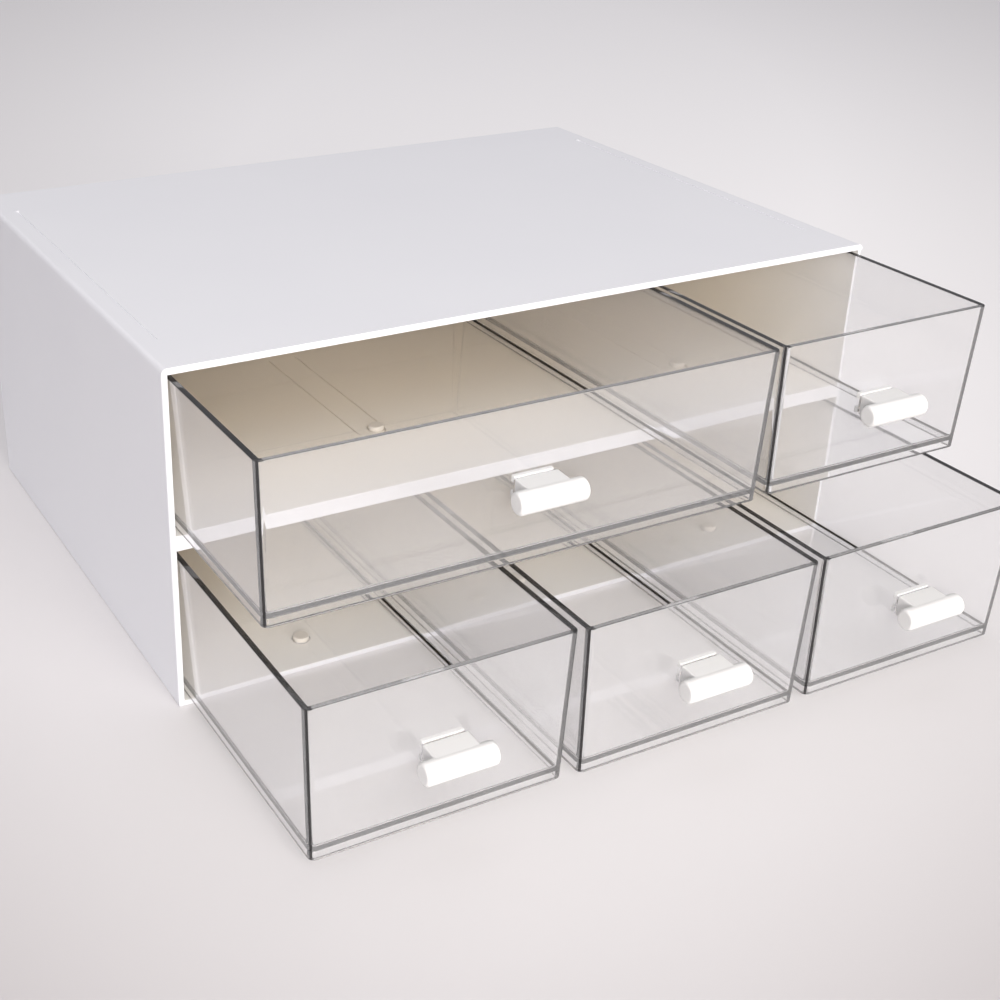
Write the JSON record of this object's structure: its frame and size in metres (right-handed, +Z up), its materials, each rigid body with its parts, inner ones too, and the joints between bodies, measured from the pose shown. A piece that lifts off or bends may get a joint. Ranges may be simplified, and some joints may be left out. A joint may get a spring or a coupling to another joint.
{
  "type": "desk organizer",
  "caption": "Low white two-tier desktop case with clear pull-out drawers, one of them wide, each with a white bar handle and a stop stud.",
  "frame": {"origin": "on the underside of the case, halfway across its width and halfway between the case's front edge and its back face", "axes": "+X to the right as seen from the front, +Y to the back, +Z up; the drawers slide out towards -Y"},
  "size_m": [0.26, 0.2868, 0.1133],
  "materials": {
    "shell": "white moulded polystyrene, fine satin texture",
    "clear": "clear moulded polystyrene, glossy",
    "handle": "white moulded ABS, soft gloss",
    "stud": "off-white moulded nylon"
  },
  "bodies": {
    "case": {"top_panel": "shell", "bottom_panel": "shell", "left_side_panel": "shell", "right_side_panel": "shell", "back_panel": "shell", "middle_shelf": "shell", "wide_drawer_stop": "stud", "upper_right_stop": "stud", "lower_left_stop": "stud", "lower_middle_stop": "stud", "lower_right_stop": "stud"},
    "wide_drawer": {"wide_drawer": "clear", "wide_drawer_handle": "handle"},
    "upper_right_drawer": {"upper_right_drawer": "clear", "upper_right_handle": "handle"},
    "lower_left_drawer": {"lower_left_drawer": "clear", "lower_left_handle": "handle"},
    "lower_middle_drawer": {"lower_middle_drawer": "clear", "lower_middle_handle": "handle"},
    "lower_right_drawer": {"lower_right_drawer": "clear", "lower_right_handle": "handle"}
  },
  "joints": [
    {"name": "wide_drawer_slide", "type": "slide", "parent": "case", "child": "wide_drawer", "axis": [0, -1, 0], "range_m": [-0.0595, 0.0795]},
    {"name": "upper_right_drawer_slide", "type": "slide", "parent": "case", "child": "upper_right_drawer", "axis": [0, -1, 0], "range_m": [-0.0585, 0.0805]},
    {"name": "lower_left_drawer_slide", "type": "slide", "parent": "case", "child": "lower_left_drawer", "axis": [0, -1, 0], "range_m": [-0.0866, 0.0774]},
    {"name": "lower_middle_drawer_slide", "type": "slide", "parent": "case", "child": "lower_middle_drawer", "axis": [0, -1, 0], "range_m": [-0.0876, 0.0764]},
    {"name": "lower_right_drawer_slide", "type": "slide", "parent": "case", "child": "lower_right_drawer", "axis": [0, -1, 0], "range_m": [-0.0871, 0.0769]}
  ]
}
